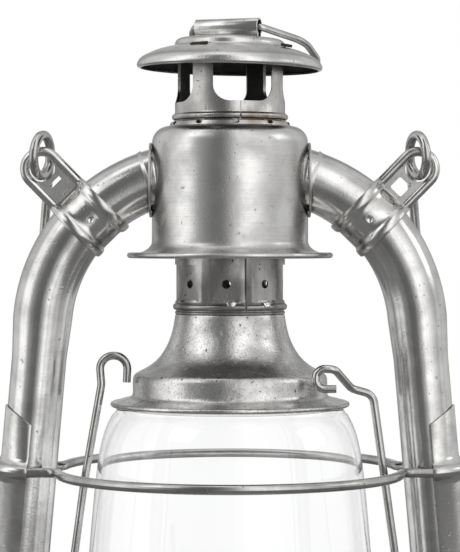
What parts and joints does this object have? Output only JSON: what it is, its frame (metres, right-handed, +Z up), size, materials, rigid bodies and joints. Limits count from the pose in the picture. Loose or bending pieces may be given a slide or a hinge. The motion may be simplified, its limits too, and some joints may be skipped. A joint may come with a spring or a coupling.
{
  "type": "hurricane lantern",
  "caption": "Tubular oil lantern with a glass globe, side air tubes, hood, capped chimney, wire guard, hinged bail, globe lift lever and wick burner on a round tank",
  "frame": {"origin": "centre of the tank's foot ring, on the table", "axes": "+Z up along the chimney, +X through the right side tube, front of the lantern towards -Y"},
  "size_m": [0.149, 0.124, 0.2643],
  "materials": {
    "tinned_steel": "bare tinned sheet, lightly mottled",
    "steel_wire": "drawn tinned wire",
    "clear_glass": "clear blown glass",
    "burner_brass": "plain brass",
    "wick_cotton": "flat woven cotton",
    "seal_rubber": "matt rubber"
  },
  "bodies": {
    "frame": {"tank_shell": "tinned_steel", "tank_bottom": "tinned_steel", "filler_neck": "tinned_steel", "air_chamber": "tinned_steel", "burner_body": "burner_brass", "wick_tube": "burner_brass", "hood": "tinned_steel", "hood_top_ring": "tinned_steel", "chimney_spring": "steel_wire", "left_side_tube": "tinned_steel", "right_side_tube": "tinned_steel", "left_tube_collar": "tinned_steel", "right_tube_collar": "tinned_steel", "left_tube_sleeve": "tinned_steel", "right_tube_sleeve": "tinned_steel", "left_ear_band": "tinned_steel", "right_ear_band": "tinned_steel", "guard_wire": "steel_wire", "lever_bracket": "tinned_steel", "bracket_rivets": "steel_wire"},
    "carriage": {"globe_carrier": "tinned_steel", "burner_cone": "tinned_steel", "globe": "clear_glass"},
    "left_wire": {"left_globe_wire": "steel_wire"},
    "right_wire": {"right_globe_wire": "steel_wire"},
    "chimney": {"globe_top_plate": "tinned_steel", "chimney_tube": "tinned_steel", "chimney_cap": "tinned_steel", "ring_strap": "tinned_steel"},
    "ring": {"lift_ring": "steel_wire"},
    "bail": {"bail": "steel_wire"},
    "lever": {"lift_lever": "steel_wire"},
    "knob": {"wick_shaft": "steel_wire", "wick_knob": "tinned_steel"},
    "wick": {"wick": "wick_cotton"},
    "seal": {"filler_seal": "seal_rubber"},
    "cap": {"filler_cap": "tinned_steel"}
  },
  "joints": [
    {"name": "globe_lift", "type": "slide", "parent": "frame", "child": "carriage", "axis": [0, 0, 1], "range_m": [0, 0.014], "deforming": ["chimney_spring"]},
    {"name": "lever_press", "type": "hinge", "parent": "frame", "child": "lever", "pos_m": [0.04812, -0.02, 0.05355], "axis": [0, 1, 0], "range_deg": [0, 60]},
    {"name": "left_wire_swing", "type": "hinge", "parent": "carriage", "child": "left_wire", "pos_m": [-0.0454, -0.006, 0.055], "axis": [1, 0, 0], "range_deg": [0, 16]},
    {"name": "right_wire_swing", "type": "hinge", "parent": "carriage", "child": "right_wire", "pos_m": [0.0454, -0.006, 0.055], "axis": [1, 0, 0], "range_deg": [0, 6]},
    {"name": "chimney_play", "type": "slide", "parent": "carriage", "child": "chimney", "axis": [0, 0, 1], "range_m": [0, 0.002], "stiffness_N_per_m": 120, "springref_m": -0.008},
    {"name": "lift_ring_swing", "type": "hinge", "parent": "chimney", "child": "ring", "pos_m": [-0.0006, 0, 0.2617], "axis": [0.9426, -0.3338, 0], "range_deg": [0, 216]},
    {"name": "bail_swing", "type": "hinge", "parent": "frame", "child": "bail", "pos_m": [0, 0, 0.22461], "axis": [1, 0, 0], "range_deg": [0, 270]},
    {"name": "wick_turn", "type": "hinge", "parent": "frame", "child": "knob", "pos_m": [0.0049, -0.02, 0.041], "axis": [0, 1, 0], "range_deg": [-85, 85]},
    {"name": "wick_feed", "type": "slide", "parent": "frame", "child": "wick", "axis": [0, 0, 1], "range_m": [-0.0057, 0.0057]},
    {"name": "cap_lift", "type": "slide", "parent": "frame", "child": "seal", "axis": [0, 0, 1], "range_m": [0, 0.00302]},
    {"name": "cap_turn", "type": "hinge", "parent": "seal", "child": "cap", "pos_m": [-0.03394, -0.03394, 0.036], "axis": [0, 0, 1], "range_deg": [0, 540]}
  ],
  "couplings": [
    {"joint": "lever_press", "follows": "globe_lift", "rad_per_m": 74.79},
    {"joint": "wick_feed", "follows": "wick_turn", "m_per_rad": 0.0038},
    {"joint": "cap_lift", "follows": "cap_turn", "m_per_rad": 0.00031831}
  ]
}
